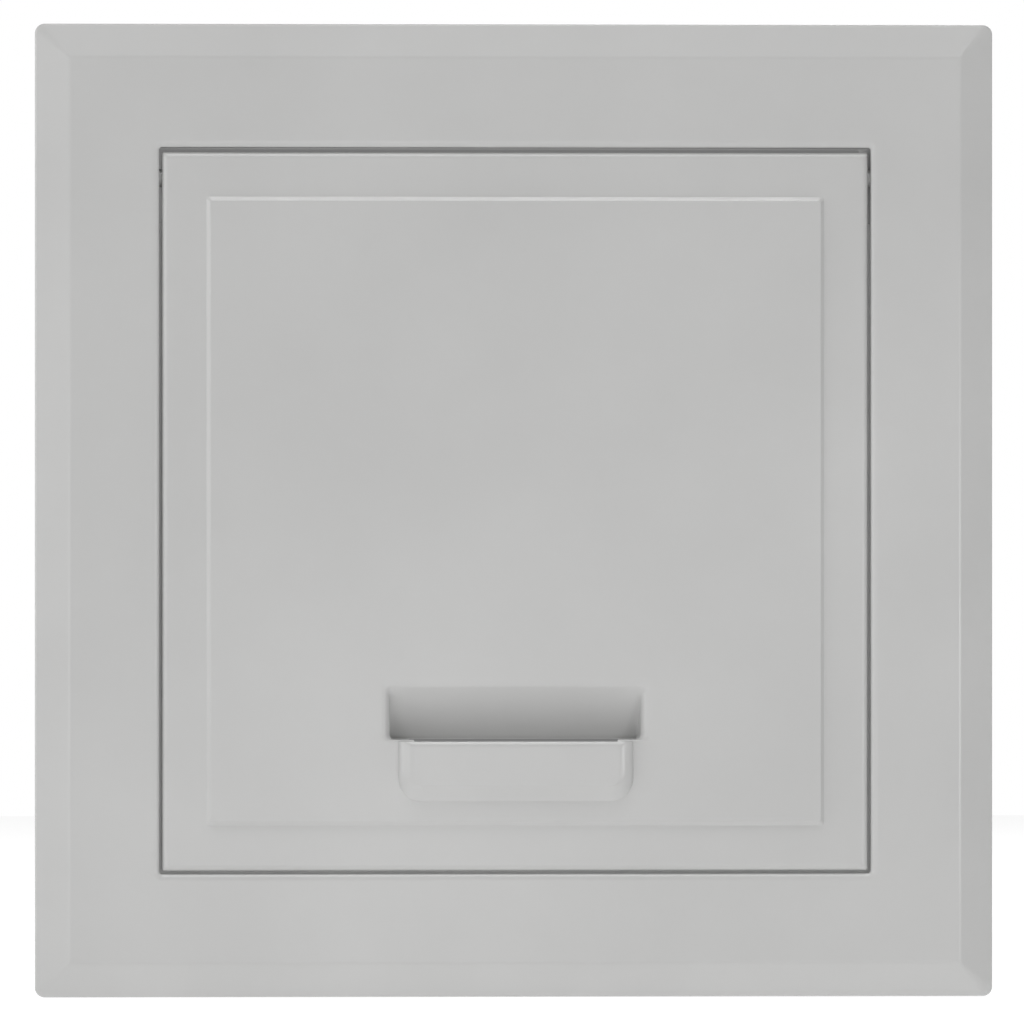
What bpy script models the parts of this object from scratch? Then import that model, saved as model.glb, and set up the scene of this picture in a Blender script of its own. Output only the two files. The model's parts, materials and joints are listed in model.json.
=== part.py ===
"""Access panel: a moulded flanged frame with a door hinged on two pins at its top.

Metres, +Z up.  X runs to the right of someone who faces the panel, Y runs into the
wall or ceiling, and the origin is the middle of the opening on the mounting plane,
where the back of the flange's rim lies against the surface around the hole.
"""
from math import atan, cos, degrees, pi, radians, sin, sqrt, tan

import bmesh
import bpy
from mathutils import Matrix, Vector

# Frame, seen from the front
OUTER_WIDTH = 0.2000
OUTER_HEIGHT = 0.2026
BORDER_WIDTH = 0.0257
BEVEL_WIDTH = 0.0070
OUTER_CORNER_RADIUS = 0.0020
BEVEL_CORNER_RADIUS = 0.0005
OPENING_CORNER_RADIUS = 0.0006
OPENING_ROLL_RADIUS = 0.0016

# Frame, through its section
FLANGE_HEIGHT = 0.0045
CREASE_RADIUS = 0.0025
RIM_HEIGHT = 0.0016
RIM_FOOT_WIDTH = 0.0018
RIM_ROUND_RADIUS = 0.0005
FLANGE_WALL = 0.0018
COLLAR_WALL = 0.0020
COLLAR_DEPTH = 0.0220
COLLAR_LEAD_IN = 0.0008

# Ribs under the flange and along the collar
KEY_RIB_COUNT = 4
KEY_RIB_THICKNESS = 0.0016
KEY_RIB_END_MARGIN = 0.0180
KEY_RIB_PROUD = 0.0010
KEY_RIB_LENGTH = 0.0150
KEY_RIB_TAPER = 0.0030
KEY_RIB_BELOW_RIM = 0.0005

# Fixing holes through the collar's sides
FIXING_HOLE_DIAMETER = 0.0042
FIXING_HEAD_DIAMETER = 0.0076
FIXING_HEAD_DEPTH = 0.0014
FIXING_HOLE_DEPTH = 0.0140

# Door, seen from the front
SIDE_GAP = 0.0006
TOP_GAP = 0.0010
BOTTOM_GAP = 0.0006
DOOR_CORNER_RADIUS = 0.0012
DOOR_EDGE_RADIUS = 0.0013
FIELD_SIDE_MARGIN = 0.0092
FIELD_TOP_MARGIN = 0.0093
FIELD_BOTTOM_MARGIN = 0.0094
FIELD_RAISE = 0.0008
FIELD_STEP_WIDTH = 0.0008
FIELD_STEP_ROUND = 0.0003
FIELD_CORNER_RADIUS = 0.0006

# Door, through its section
DOOR_DEPTH = 0.0090
DOOR_SKIN = 0.0022
STEP_BEHIND_FIELD = 0.0011
DOOR_SKIRT_WALL = 0.0018
SKIRT_TO_LEDGE = 0.0006
SKIRT_BELOW_DOOR_TOP = 0.0004
DOOR_RIB_THICKNESS = 0.0014
DOOR_RIB_DEPTH = 0.0065
DOOR_RIB_SIDE_PLACE = 0.0420
DOOR_RIB_UPPER_PLACE = 0.0400
DOOR_RIB_MIDDLE_PLACE = 0.0020

# Stop ledge behind the door's rim, and the snap bumps that sit behind the ledge
LEDGE_WIDTH = 0.0024
LEDGE_THICKNESS = 0.0014
LEDGE_TO_DOOR = 0.0003
LEDGE_BELOW_HINGE = 0.0095
SNAP_PLACE = 0.0380
SNAP_LENGTH = 0.0120
SNAP_RADIUS = 0.0009
SNAP_PROUD = 0.0003
SNAP_BEHIND_LEDGE = 0.0003

# Hinge
HINGE_BELOW_DOOR_TOP = 0.0054
HINGE_BEHIND_FACE = 0.0038
PIN_DIAMETER = 0.0038
PIN_CHAMFER = 0.0006
PIN_CLEARANCE = 0.0002
PIN_END_CLEARANCE = 0.0003
DOOR_BORE_DEPTH = 0.0058
DOOR_BORE_END_WALL = 0.0016
FRAME_BOSS_LENGTH = 0.0026
HINGE_BOSS_WALL = 0.0015
LUG_INSIDE_DOOR_EDGE = 0.0002

# Finger pull: a scoop that runs in under a hood, moulded in one with the door
PULL_ABOVE_FIELD_FOOT = 0.0179
SCOOP_WIDTH = 0.0565
SCOOP_HEIGHT = 0.0133
SCOOP_CHEEK_WIDTH = 0.0021
SCOOP_CHEEK_DEPTH = 0.0020
SCOOP_CHEEK_DRAFT = 0.08
SCOOP_ANGLE = radians(30.0)
SCOOP_EASE_RUN = 0.0035
SCOOP_END_HEIGHT = 0.0003
SCOOP_CORNER_RADIUS = 0.0011
SCOOP_CORNER_SHARE = 0.33
SCOOP_MOUTH_ROUND = 0.0004
PULL_WALL = 0.0016
HOOD_WIDTH = 0.0490
HOOD_HEIGHT = 0.0130
HOOD_RAISE = 0.0023
HOOD_SIDE_SLOPE = 0.0033
HOOD_FOOT_SLOPE = 0.0034
HOOD_SIDE_WALL = 0.0024
HOOD_CORNER_RADIUS = 0.0050
HOOD_LIP_RADIUS = 0.0010
HOOD_TOP_CORNER_RADIUS = 0.0006

# Fineness of round stretches, and how far joined shapes sink into each other
CORNER_STEPS = 5
ROLL_STEPS = 5
EASE_STEPS = 3
HOOD_STEPS = 8
BORE_SIDES = 36
SINK = 0.0006
CUT_PAST = 0.0020

# Sizes that follow from the ones above
OPENING_HALF_WIDTH = OUTER_WIDTH / 2 - BORDER_WIDTH
OPENING_HALF_HEIGHT = OUTER_HEIGHT / 2 - BORDER_WIDTH
FACE_Y = -FLANGE_HEIGHT
FLANGE_UNDERSIDE_Y = FACE_Y + FLANGE_WALL
BEVEL_START = BORDER_WIDTH - BEVEL_WIDTH
BEVEL_SLOPE = (FLANGE_HEIGHT - RIM_HEIGHT) / BEVEL_WIDTH

DOOR_HALF_WIDTH = OPENING_HALF_WIDTH - SIDE_GAP
DOOR_TOP = OPENING_HALF_HEIGHT - TOP_GAP
DOOR_BOTTOM = BOTTOM_GAP - OPENING_HALF_HEIGHT
DOOR_SKIN_Y = FACE_Y + DOOR_SKIN
DOOR_BACK_Y = FACE_Y + DOOR_DEPTH
SKIRT_HALF_WIDTH = OPENING_HALF_WIDTH - LEDGE_WIDTH - SKIRT_TO_LEDGE
SKIRT_TOP = DOOR_TOP - SKIRT_BELOW_DOOR_TOP
SKIRT_BOTTOM = LEDGE_WIDTH + SKIRT_TO_LEDGE - OPENING_HALF_HEIGHT
FIELD_Y = FACE_Y - FIELD_RAISE
FIELD_HALF_WIDTH = DOOR_HALF_WIDTH - FIELD_SIDE_MARGIN
FIELD_TOP = DOOR_TOP - FIELD_TOP_MARGIN
FIELD_BOTTOM = DOOR_BOTTOM + FIELD_BOTTOM_MARGIN

HINGE_Z = DOOR_TOP - HINGE_BELOW_DOOR_TOP
HINGE_Y = FACE_Y + HINGE_BEHIND_FACE
BORE_RADIUS = PIN_DIAMETER / 2 + PIN_CLEARANCE
HINGE_BOSS_RADIUS = BORE_RADIUS + HINGE_BOSS_WALL
BORE_END_X = DOOR_HALF_WIDTH - DOOR_BORE_DEPTH
FRAME_BOSS_END_X = OPENING_HALF_WIDTH + COLLAR_WALL + FRAME_BOSS_LENGTH

LEDGE_FRONT_Y = DOOR_SKIN_Y + LEDGE_TO_DOOR
SNAP_Y = LEDGE_FRONT_Y + LEDGE_THICKNESS + SNAP_BEHIND_LEDGE + SNAP_RADIUS

SLOT_Z = FIELD_BOTTOM + PULL_ABOVE_FIELD_FOOT
SCOOP_TOP = SLOT_Z + SCOOP_HEIGHT
SCOOP_EASE_DEPTH = SCOOP_EASE_RUN * tan(SCOOP_ANGLE / 2)
SCOOP_DEPTH = SCOOP_EASE_DEPTH + (SCOOP_HEIGHT - SCOOP_EASE_RUN) * tan(SCOOP_ANGLE)

FRAME_COLOUR = (0.52, 0.52, 0.515, 1.0)
DOOR_COLOUR = (0.52, 0.52, 0.515, 1.0)
PIN_COLOUR = (0.50, 0.50, 0.495, 1.0)
MOULDED_ROUGHNESS = 0.38


def clear_scene():
    """Remove what the scene already holds."""
    for old in list(bpy.data.objects):
        bpy.data.objects.remove(old, do_unlink=True)


def new_collection(name):
    """A collection of the scene."""
    collection = bpy.data.collections.new(name)
    bpy.context.scene.collection.children.link(collection)
    return collection


def plastic(name, colour):
    """A moulded plastic: one colour, half gloss."""
    material = bpy.data.materials.new(name)
    material.use_nodes = True
    shader = material.node_tree.nodes["Principled BSDF"]
    shader.inputs["Base Color"].default_value = colour
    shader.inputs["Roughness"].default_value = MOULDED_ROUGHNESS
    shader.inputs["Metallic"].default_value = 0.0
    return material


def add_object(name, bm, collection):
    """Close a bmesh with its faces pointing out and put it in a collection."""
    bmesh.ops.recalc_face_normals(bm, faces=bm.faces)
    mesh = bpy.data.meshes.new(name)
    bm.to_mesh(mesh)
    bm.free()
    piece = bpy.data.objects.new(name, mesh)
    collection.objects.link(piece)
    return piece


def as_guide(piece):
    """Mark an object that only cuts or is joined to a piece."""
    piece.hide_render = True
    piece.display_type = "WIRE"
    return piece


def join_or_cut(piece, guide, operation):
    """Join a guide's shape to a piece, or cut it away."""
    modifier = piece.modifiers.new(f"{operation} {guide.name}", "BOOLEAN")
    modifier.operation = operation
    modifier.solver = "EXACT"
    modifier.object = as_guide(guide)


def finish_piece(piece, material):
    """Give a piece its material, smooth its round faces and keep its sharp edges."""
    piece.data.materials.append(material)
    piece.data.shade_smooth()
    piece.data.set_sharp_from_angle(angle=radians(30))


def arc(centre_out, centre_y, radius, start, end, steps):
    """Points (out, y) along a round stretch of a section, angles in degrees."""
    turns = [radians(start + (end - start) * i / steps) for i in range(steps + 1)]
    return [(centre_out + radius * cos(a), centre_y + radius * sin(a)) for a in turns]


def rectangle_loop(half_width, bottom, top, y, radius, top_radius=None):
    """Points of a rectangle with round corners at the depth y, from its right foot up."""
    corners = (
        (half_width, bottom, -90, radius),
        (half_width, top, 0, top_radius if top_radius is not None else radius),
        (-half_width, top, 90, top_radius if top_radius is not None else radius),
        (-half_width, bottom, 180, radius),
    )
    points = []
    for x, z, start, r in corners:
        centre_x = x - r if x > 0 else x + r
        centre_z = z - r if z == top else z + r
        for i in range(CORNER_STEPS + 1):
            a = radians(start + 90 * i / CORNER_STEPS)
            points.append(Vector((centre_x + r * cos(a), y, centre_z + r * sin(a))))
    return points


def loft(name, loops, collection, ring=False):
    """Skin loops of equally many points: a ring of them, or a body with two end faces."""
    bm = bmesh.new()
    rows = [[bm.verts.new(p) for p in loop] for loop in loops]
    pairs = list(zip(rows, rows[1:]))
    if ring:
        pairs.append((rows[-1], rows[0]))
    else:
        bm.faces.new(rows[0])
        bm.faces.new(rows[-1])
    for row, following in pairs:
        for i in range(len(row)):
            j = (i + 1) % len(row)
            bm.faces.new((row[i], row[j], following[j], following[i]))
    return add_object(name, bm, collection)


def plate(bm, outline, move):
    """Add a flat outline to bm and push a copy of it out by move."""
    face = bm.faces.new([bm.verts.new(p) for p in outline])
    pushed = bmesh.ops.extrude_face_region(bm, geom=[face], use_keep_orig=True)["geom"]
    corners = [part for part in pushed if isinstance(part, bmesh.types.BMVert)]
    bmesh.ops.translate(bm, verts=corners, vec=move)


def block(bm, low, high):
    """Add a box between two opposite corners to bm."""
    low, high = Vector(low), Vector(high)
    size = high - low
    place = Matrix.Translation((low + high) / 2) @ Matrix.Diagonal((*size, 1.0))
    bmesh.ops.create_cube(bm, size=1.0, matrix=place)


def rod(bm, centre, radius, length, end_radius=None):
    """Add a cylinder or cone to bm, lying along X about its centre."""
    bmesh.ops.create_cone(
        bm,
        cap_ends=True,
        segments=BORE_SIDES,
        radius1=radius,
        radius2=radius if end_radius is None else end_radius,
        depth=length,
        matrix=Matrix.Translation(centre) @ Matrix.Rotation(pi / 2, 4, "Y"),
    )


def even_places(half_length, end_margin, count):
    """Places spread evenly between the two ends of a side."""
    reach = half_length - end_margin
    return [reach * (2 * i / (count - 1) - 1) for i in range(count)]


def frame_section():
    """The frame's section as (out from the opening, y, corner radius) points."""
    tilt = atan(BEVEL_SLOPE)
    crease = arc(
        BEVEL_START - CREASE_RADIUS * tan(tilt / 2), FACE_Y + CREASE_RADIUS, CREASE_RADIUS,
        270, 270 + degrees(tilt), EASE_STEPS,
    )
    rim_centre = BORDER_WIDTH - RIM_ROUND_RADIUS
    rim_contact = rim_centre + RIM_ROUND_RADIUS * sin(tilt)
    rim_centre_y = FACE_Y + BEVEL_SLOPE * (rim_contact - BEVEL_START) + RIM_ROUND_RADIUS * cos(tilt)
    rim = arc(rim_centre, rim_centre_y, RIM_ROUND_RADIUS, 270 + degrees(tilt), 360, EASE_STEPS)
    foot_inner = BORDER_WIDTH - RIM_FOOT_WIDTH
    foot_top_y = FLANGE_UNDERSIDE_Y + BEVEL_SLOPE * (foot_inner - BEVEL_START)
    roll = arc(
        OPENING_ROLL_RADIUS, FACE_Y + OPENING_ROLL_RADIUS, OPENING_ROLL_RADIUS,
        180, 270, ROLL_STEPS,
    )
    section = [(0.0, COLLAR_DEPTH, OPENING_CORNER_RADIUS)]
    section += [(out, y, OPENING_CORNER_RADIUS + out) for out, y in roll]
    section += [(out, y, BEVEL_CORNER_RADIUS) for out, y in crease]
    section += [(out, y, OUTER_CORNER_RADIUS) for out, y in rim]
    section += [
        (BORDER_WIDTH, 0.0, OUTER_CORNER_RADIUS),
        (foot_inner, 0.0, BEVEL_CORNER_RADIUS),
        (foot_inner, foot_top_y, BEVEL_CORNER_RADIUS),
        (BEVEL_START, FLANGE_UNDERSIDE_Y, BEVEL_CORNER_RADIUS),
        (COLLAR_WALL, FLANGE_UNDERSIDE_Y, OPENING_CORNER_RADIUS + COLLAR_WALL),
        (COLLAR_WALL, COLLAR_DEPTH - COLLAR_LEAD_IN, OPENING_CORNER_RADIUS + COLLAR_WALL),
        (COLLAR_WALL - COLLAR_LEAD_IN, COLLAR_DEPTH, OPENING_CORNER_RADIUS + COLLAR_WALL),
    ]
    return section


def frame_loops():
    """One round-cornered rectangle for each point of the frame's section."""
    loops = []
    for out, y, radius in frame_section():
        half_height = OPENING_HALF_HEIGHT + out
        loops.append(
            rectangle_loop(OPENING_HALF_WIDTH + out, -half_height, half_height, y, radius)
        )
    return loops


def key_rib_outline():
    """Outline of a rib that stiffens the flange and grips the filler round the collar."""
    top = -KEY_RIB_BELOW_RIM
    inside_flange = FLANGE_UNDERSIDE_Y - SINK
    foot = BORDER_WIDTH - RIM_FOOT_WIDTH + SINK
    under_bevel = inside_flange + BEVEL_SLOPE * (foot - BEVEL_START)
    crest = COLLAR_WALL + KEY_RIB_PROUD
    root = COLLAR_WALL - SINK
    return [
        (root, inside_flange),
        (BEVEL_START, inside_flange),
        (foot, under_bevel),
        (foot, top),
        (crest, top),
        (crest, KEY_RIB_LENGTH - KEY_RIB_TAPER),
        (COLLAR_WALL, KEY_RIB_LENGTH),
        (root, KEY_RIB_LENGTH),
    ]


def add_key_ribs(guides):
    """Ribs on all four sides, each standing across the collar's outer face."""
    bm = bmesh.new()
    half = KEY_RIB_THICKNESS / 2
    for side in (-1, 1):
        for place in even_places(OPENING_HALF_WIDTH, KEY_RIB_END_MARGIN, KEY_RIB_COUNT):
            outline = [
                Vector((place - half, y, side * (OPENING_HALF_HEIGHT + out)))
                for out, y in key_rib_outline()
            ]
            plate(bm, outline, Vector((KEY_RIB_THICKNESS, 0, 0)))
        for place in even_places(OPENING_HALF_HEIGHT, KEY_RIB_END_MARGIN, KEY_RIB_COUNT):
            outline = [
                Vector((side * (OPENING_HALF_WIDTH + out), y, place - half))
                for out, y in key_rib_outline()
            ]
            plate(bm, outline, Vector((0, 0, KEY_RIB_THICKNESS)))
    return add_object("key_ribs", bm, guides)


def ledge_outline():
    """Section of the stop ledge: a shelf for the door's rim with a bracket behind it."""
    back = LEDGE_FRONT_Y + LEDGE_THICKNESS
    return [
        (-LEDGE_WIDTH, LEDGE_FRONT_Y),
        (SINK, LEDGE_FRONT_Y),
        (SINK, back + LEDGE_WIDTH),
        (0.0, back + LEDGE_WIDTH),
        (-LEDGE_WIDTH, back),
    ]


def add_side_ledges(guides):
    """Stop ledges on the collar's two side walls, ending short of the hinge."""
    bm = bmesh.new()
    foot = -OPENING_HALF_HEIGHT - SINK
    rise = HINGE_Z - LEDGE_BELOW_HINGE - foot
    for side in (-1, 1):
        outline = [
            Vector((side * (OPENING_HALF_WIDTH + out), y, foot))
            for out, y in ledge_outline()
        ]
        plate(bm, outline, Vector((0, 0, rise)))
    return add_object("side_ledges", bm, guides)


def add_bottom_ledge(guides):
    """Stop ledge along the collar's lower wall."""
    bm = bmesh.new()
    reach = OPENING_HALF_WIDTH + SINK
    outline = [
        Vector((-reach, y, -OPENING_HALF_HEIGHT - out)) for out, y in ledge_outline()
    ]
    plate(bm, outline, Vector((2 * reach, 0, 0)))
    return add_object("bottom_ledge", bm, guides)


def add_frame_bosses(guides):
    """Bosses outside the collar that lengthen the two pin bores."""
    bm = bmesh.new()
    inner = OPENING_HALF_WIDTH + COLLAR_WALL - SINK
    for side in (-1, 1):
        centre = Vector((side * (inner + FRAME_BOSS_END_X) / 2, HINGE_Y, HINGE_Z))
        rod(bm, centre, HINGE_BOSS_RADIUS, FRAME_BOSS_END_X - inner)
    return add_object("frame_bosses", bm, guides)


def add_frame_bores(guides):
    """Pin bores right through the collar and its bosses."""
    bm = bmesh.new()
    inner = OPENING_HALF_WIDTH - CUT_PAST
    outer = FRAME_BOSS_END_X + CUT_PAST
    for side in (-1, 1):
        centre = Vector((side * (inner + outer) / 2, HINGE_Y, HINGE_Z))
        rod(bm, centre, BORE_RADIUS, outer - inner)
    return add_object("frame_bores", bm, guides)


def fixing_places():
    """Heights of the fixing holes, midway between neighbouring ribs at each end."""
    ribs = even_places(OPENING_HALF_HEIGHT, KEY_RIB_END_MARGIN, KEY_RIB_COUNT)
    return ((ribs[0] + ribs[1]) / 2, (ribs[-2] + ribs[-1]) / 2)


def add_fixing_holes(guides):
    """Holes through the collar's side walls for the installer's screws."""
    bm = bmesh.new()
    length = COLLAR_WALL + 2 * CUT_PAST
    for side in (-1, 1):
        x = side * (OPENING_HALF_WIDTH + COLLAR_WALL / 2)
        for z in fixing_places():
            rod(bm, Vector((x, FIXING_HOLE_DEPTH, z)), FIXING_HOLE_DIAMETER / 2, length)
    return add_object("fixing_holes", bm, guides)


def add_fixing_sinks(guides):
    """Countersinks for the screws' heads, on the inner side of the collar."""
    bm = bmesh.new()
    head = FIXING_HEAD_DIAMETER / 2
    hole = FIXING_HOLE_DIAMETER / 2
    flare = (head - hole) / FIXING_HEAD_DEPTH
    wide = head + flare * CUT_PAST
    length = FIXING_HEAD_DEPTH + CUT_PAST
    for side in (-1, 1):
        x = side * (OPENING_HALF_WIDTH + (FIXING_HEAD_DEPTH - CUT_PAST) / 2)
        for z in fixing_places():
            low_x, high_x = (wide, hole) if side > 0 else (hole, wide)
            rod(bm, Vector((x, FIXING_HOLE_DEPTH, z)), low_x, length, high_x)
    return add_object("fixing_sinks", bm, guides)


def make_frame(parts, guides):
    """Flange and collar in one moulding."""
    frame = loft("frame", frame_loops(), parts, ring=True)
    for shape in (add_key_ribs, add_side_ledges, add_bottom_ledge, add_frame_bosses):
        join_or_cut(frame, shape(guides), "UNION")
    for shape in (add_frame_bores, add_fixing_holes, add_fixing_sinks):
        join_or_cut(frame, shape(guides), "DIFFERENCE")
    finish_piece(frame, plastic("frame_plastic", FRAME_COLOUR))
    return frame


def step_section():
    """The step round the raised field as (inset, y), its upper and lower edge rounded."""
    tilt = atan(FIELD_RAISE / FIELD_STEP_WIDTH)
    turn = degrees(tilt)
    radius = FIELD_STEP_ROUND
    reach = radius * tan(tilt / 2)
    upper = arc(
        FIELD_STEP_WIDTH + reach, FIELD_Y + radius, radius, 270, 270 - turn, EASE_STEPS
    )
    lower = arc(-reach, FACE_Y - radius, radius, 90 - turn, 90, EASE_STEPS)
    return upper + lower


def door_loops():
    """Loops over the door's face and rim, down its skirt and over the hollow side."""

    def rim(distance, y):
        return rectangle_loop(
            DOOR_HALF_WIDTH - distance,
            DOOR_BOTTOM + distance,
            DOOR_TOP - distance,
            y,
            DOOR_CORNER_RADIUS,
        )

    def skirt(distance, y, radius):
        return rectangle_loop(
            SKIRT_HALF_WIDTH - distance,
            SKIRT_BOTTOM + distance,
            SKIRT_TOP - distance,
            y,
            radius,
        )

    def field(distance, y, radius):
        return rectangle_loop(
            FIELD_HALF_WIDTH - distance,
            FIELD_BOTTOM + distance,
            FIELD_TOP - distance,
            y,
            radius,
        )

    edge = arc(
        DOOR_EDGE_RADIUS, FACE_Y + DOOR_EDGE_RADIUS, DOOR_EDGE_RADIUS, 270, 180, ROLL_STEPS
    )
    wall = DOOR_SKIRT_WALL
    behind = STEP_BEHIND_FIELD
    loops = [field(distance, y, FIELD_CORNER_RADIUS) for distance, y in step_section()]
    loops += [rim(distance, y) for distance, y in edge]
    loops += [
        rim(0.0, DOOR_SKIN_Y),
        skirt(0.0, DOOR_SKIN_Y, DOOR_CORNER_RADIUS),
        skirt(0.0, DOOR_BACK_Y, DOOR_CORNER_RADIUS),
        skirt(wall, DOOR_BACK_Y, FIELD_CORNER_RADIUS),
        skirt(wall, DOOR_SKIN_Y, FIELD_CORNER_RADIUS),
        field(behind, DOOR_SKIN_Y, FIELD_CORNER_RADIUS),
        field(behind + FIELD_STEP_WIDTH, FIELD_Y + DOOR_SKIN, FIELD_CORNER_RADIUS),
    ]
    return loops


def add_door_ribs(guides):
    """Two upright and two cross ribs on the hollow side, run into the skirt."""
    half = DOOR_RIB_THICKNESS / 2
    front = FIELD_Y + DOOR_SKIN - SINK
    back = front + SINK + DOOR_RIB_DEPTH
    reach = SKIRT_HALF_WIDTH - DOOR_SKIRT_WALL + SINK
    low = SKIRT_BOTTOM + DOOR_SKIRT_WALL - SINK
    high = SKIRT_TOP - DOOR_SKIRT_WALL + SINK
    upright = bmesh.new()
    for x in (-DOOR_RIB_SIDE_PLACE, DOOR_RIB_SIDE_PLACE):
        block(upright, (x - half, front, low), (x + half, back, high))
    cross = bmesh.new()
    for z in (DOOR_RIB_UPPER_PLACE, DOOR_RIB_MIDDLE_PLACE):
        block(cross, (-reach, front, z - half), (reach, back - SINK, z + half))
    return (
        add_object("door_upright_ribs", upright, guides),
        add_object("door_cross_ribs", cross, guides),
    )


def add_door_lugs(guides):
    """Lugs that carry the skirt out to the rim's side edge round each pin bore."""
    bm = bmesh.new()
    inner = SKIRT_HALF_WIDTH - SINK
    outer = DOOR_HALF_WIDTH - LUG_INSIDE_DOOR_EDGE
    front = DOOR_SKIN_Y - SINK
    back = HINGE_Y + HINGE_BOSS_RADIUS
    low = HINGE_Z - HINGE_BOSS_RADIUS
    high = HINGE_Z + HINGE_BOSS_RADIUS
    block(bm, (-outer, front, low), (-inner, back, high))
    block(bm, (inner, front, low), (outer, back, high))
    return add_object("door_lugs", bm, guides)


def add_door_bosses(guides):
    """Bosses behind the door's upper corners that hold the pin bores."""
    bm = bmesh.new()
    outer = SKIRT_HALF_WIDTH - DOOR_SKIRT_WALL + SINK
    inner = BORE_END_X - DOOR_BORE_END_WALL
    for side in (-1, 1):
        centre = Vector((side * (inner + outer) / 2, HINGE_Y, HINGE_Z))
        rod(bm, centre, HINGE_BOSS_RADIUS, outer - inner)
    return add_object("door_bosses", bm, guides)


def add_door_bores(guides):
    """Blind pin bores in the door's two sides."""
    bm = bmesh.new()
    outer = DOOR_HALF_WIDTH + CUT_PAST
    for side in (-1, 1):
        centre = Vector((side * (BORE_END_X + outer) / 2, HINGE_Y, HINGE_Z))
        rod(bm, centre, BORE_RADIUS, outer - BORE_END_X)
    return add_object("door_bores", bm, guides)


def add_snap_bumps(guides):
    """Bumps under the door's lower skirt that sit behind the stop ledge."""
    bm = bmesh.new()
    z = SKIRT_BOTTOM - SNAP_PROUD + SNAP_RADIUS
    for side in (-1, 1):
        rod(bm, Vector((side * SNAP_PLACE, SNAP_Y, z)), SNAP_RADIUS, SNAP_LENGTH)
    return add_object("snap_bumps", bm, guides)


def scoop_sections():
    """The scoop as (depth behind the field, drop of its floor) pairs, front to back."""
    radius = SCOOP_EASE_RUN / sin(SCOOP_ANGLE)
    turns = [SCOOP_ANGLE * i / ROLL_STEPS for i in range(ROLL_STEPS + 1)]
    eased = [(radius * (1 - cos(a)), radius * sin(a)) for a in turns]
    slope = tan(SCOOP_ANGLE)
    straight = [
        (SCOOP_CHEEK_DEPTH, SCOOP_EASE_RUN + (SCOOP_CHEEK_DEPTH - SCOOP_EASE_DEPTH) / slope),
        (SCOOP_DEPTH, SCOOP_HEIGHT),
    ]
    return eased + straight


def scoop_half_width(depth):
    """Half the scoop's width: its sides roll in from the field and then draft inward."""
    left = 1.0 - min(1.0, max(0.0, depth / SCOOP_CHEEK_DEPTH))
    rolled = SCOOP_CHEEK_WIDTH * sqrt(1.0 - left**2)
    drafted = SCOOP_CHEEK_DRAFT * max(0.0, depth - SCOOP_CHEEK_DEPTH)
    return SCOOP_WIDTH / 2 - rolled - drafted


def scoop_loop(half_width, foot, top, y):
    """One section across the scoop, its corners no larger than its height allows."""
    radius = min(SCOOP_CORNER_RADIUS, (top - foot) * SCOOP_CORNER_SHARE)
    return rectangle_loop(half_width, foot, top, y, radius)


def mouth_flare(depth):
    """How far the mouth's rounded lower edge opens down at a depth behind the field."""
    left = min(SCOOP_MOUTH_ROUND, max(0.0, SCOOP_MOUTH_ROUND - depth))
    return SCOOP_MOUTH_ROUND - sqrt(SCOOP_MOUTH_ROUND**2 - left**2)


def add_scoop_hollow(guides):
    """The hollow that the fingertips go into, from in front of the field to its end."""
    loops = []
    for depth, drop in [(-CUT_PAST, 0.0)] + scoop_sections():
        foot = SLOT_Z - mouth_flare(depth)
        top = max(SCOOP_TOP - drop, SLOT_Z + SCOOP_END_HEIGHT)
        loops.append(scoop_loop(scoop_half_width(depth), foot, top, FIELD_Y + depth))
    return loft("scoop_hollow", loops, guides)


def add_scoop_shell(guides):
    """The scoop's wall on the hollow side of the door."""
    wall = PULL_WALL
    loops = []
    for depth, drop in scoop_sections():
        half_width = scoop_half_width(depth) + wall
        top = SCOOP_TOP - drop + wall * sin(SCOOP_ANGLE)
        y = FIELD_Y + depth + wall * cos(SCOOP_ANGLE)
        loops.append(scoop_loop(half_width, SLOT_Z - wall, top, y))
    half_width = scoop_half_width(SCOOP_DEPTH) + wall
    end_y = FIELD_Y + SCOOP_DEPTH + wall / cos(SCOOP_ANGLE)
    loops.append(scoop_loop(half_width, SLOT_Z - wall, SLOT_Z, end_y))
    return loft("scoop_shell", loops, guides)


def hood_sections():
    """The hood as (height, side inset, foot inset, top inset), from the field outward.

    Its sides stand steep on the field and round into its face, its foot is a flat slope,
    and its top rolls over into the lip.
    """
    sections = []
    for i in range(HOOD_STEPS + 1):
        turn = pi / 2 * i / HOOD_STEPS
        height = HOOD_RAISE * sin(turn)
        side = HOOD_SIDE_SLOPE * (1 - cos(turn))
        foot = HOOD_FOOT_SLOPE * height / HOOD_RAISE
        above_lip = max(0.0, height - (HOOD_RAISE - HOOD_LIP_RADIUS))
        top = HOOD_LIP_RADIUS - sqrt(max(0.0, HOOD_LIP_RADIUS**2 - above_lip**2))
        sections.append((height, side, foot, top))
    return sections


def hood_loop(height, side_inset, foot_inset, top_inset):
    """One section across the hood at a height above the field."""
    return rectangle_loop(
        HOOD_WIDTH / 2 - side_inset,
        SLOT_Z - HOOD_HEIGHT + foot_inset,
        SLOT_Z - top_inset,
        FIELD_Y - height,
        max(HOOD_CORNER_RADIUS - side_inset, HOOD_TOP_CORNER_RADIUS),
        HOOD_TOP_CORNER_RADIUS,
    )


def hood_room_loop(y, side_inset, foot_inset):
    """One section across the room behind the hood, inside the hood's walls."""
    return rectangle_loop(
        HOOD_WIDTH / 2 - side_inset - HOOD_SIDE_WALL,
        SLOT_Z - HOOD_HEIGHT + foot_inset + PULL_WALL,
        SLOT_Z + SCOOP_END_HEIGHT / 2,
        y,
        max(HOOD_CORNER_RADIUS - side_inset - PULL_WALL, HOOD_TOP_CORNER_RADIUS),
        HOOD_TOP_CORNER_RADIUS,
    )


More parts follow.
